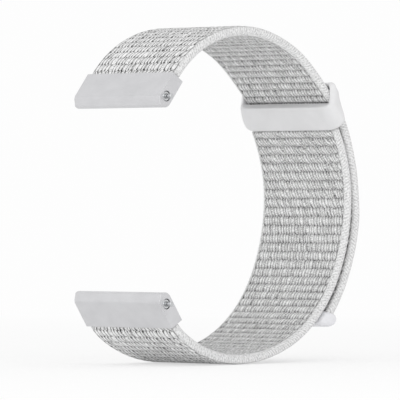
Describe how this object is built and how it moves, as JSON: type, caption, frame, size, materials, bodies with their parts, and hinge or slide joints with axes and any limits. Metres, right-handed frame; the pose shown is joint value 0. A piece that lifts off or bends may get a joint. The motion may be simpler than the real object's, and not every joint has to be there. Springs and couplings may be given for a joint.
{
  "type": "hook and loop watch strap",
  "caption": "Woven hook and loop watch strap that doubles back through a ring, with moulded end pieces on quick release spring bars.",
  "frame": {"origin": "midway between the two spring bar axes, on the middle line of the strap, where the watch case would be held", "axes": "+X across the strap along the spring bars, +Y away from the watch towards the back of the wrist, +Z from the lower spring bar to the upper one"},
  "size_m": [0.0246, 0.058, 0.0639],
  "materials": {
    "satin_metal": "satin silver",
    "bar_steel": "turned and polished",
    "webbing": "woven ribs with loop pile, smooth selvedges",
    "hook_tape": "moulded nylon hooks",
    "pale_plastic": "smooth moulded"
  },
  "bodies": {
    "strap": {"upper_end_piece": "satin_metal", "lower_end_piece": "satin_metal", "upper_strap": "webbing", "lower_strap": "webbing", "buckle_ring": "satin_metal"},
    "upper_bar": {"upper_bar_tube": "bar_steel", "upper_bar_fixed_tip": "bar_steel", "upper_bar_spring": "bar_steel"},
    "lower_bar": {"lower_bar_tube": "bar_steel", "lower_bar_fixed_tip": "bar_steel", "lower_bar_spring": "bar_steel"},
    "upper_release": {"upper_bar_plunger": "bar_steel", "upper_bar_knob": "bar_steel"},
    "lower_release": {"lower_bar_plunger": "bar_steel", "lower_bar_knob": "bar_steel"},
    "tail": {"tail_strap": "webbing"},
    "tail_end": {"tail_end_strap": "webbing", "hook_pad": "hook_tape", "tail_tip": "pale_plastic"}
  },
  "joints": [
    {"name": "upper_bar_play", "type": "hinge", "parent": "strap", "child": "upper_bar", "pos_m": [0, 0, 0.0193], "axis": [1, 0, 0], "range_deg": [-8, 8]},
    {"name": "lower_bar_play", "type": "hinge", "parent": "strap", "child": "lower_bar", "pos_m": [0, 0, -0.0193], "axis": [1, 0, 0], "range_deg": [-8, 8]},
    {"name": "upper_release_slide", "type": "slide", "parent": "upper_bar", "child": "upper_release", "axis": [-1, 0, 0], "range_m": [0, 0.0015], "stiffness_N_per_m": 250, "springref_m": -0.002, "deforming": ["upper_bar_spring"]},
    {"name": "lower_release_slide", "type": "slide", "parent": "lower_bar", "child": "lower_release", "axis": [1, 0, 0], "range_m": [0, 0.0015], "stiffness_N_per_m": 250, "springref_m": -0.002, "deforming": ["lower_bar_spring"]},
    {"name": "tail_lift", "type": "hinge", "parent": "strap", "child": "tail", "pos_m": [0, 0.04838, 0.02001], "axis": [1, 0, 0], "range_deg": [0, 95]},
    {"name": "tail_peel", "type": "hinge", "parent": "tail", "child": "tail_end", "pos_m": [0, 0.05552, -0.00645], "axis": [1, 0, 0], "range_deg": [0, 60]}
  ]
}
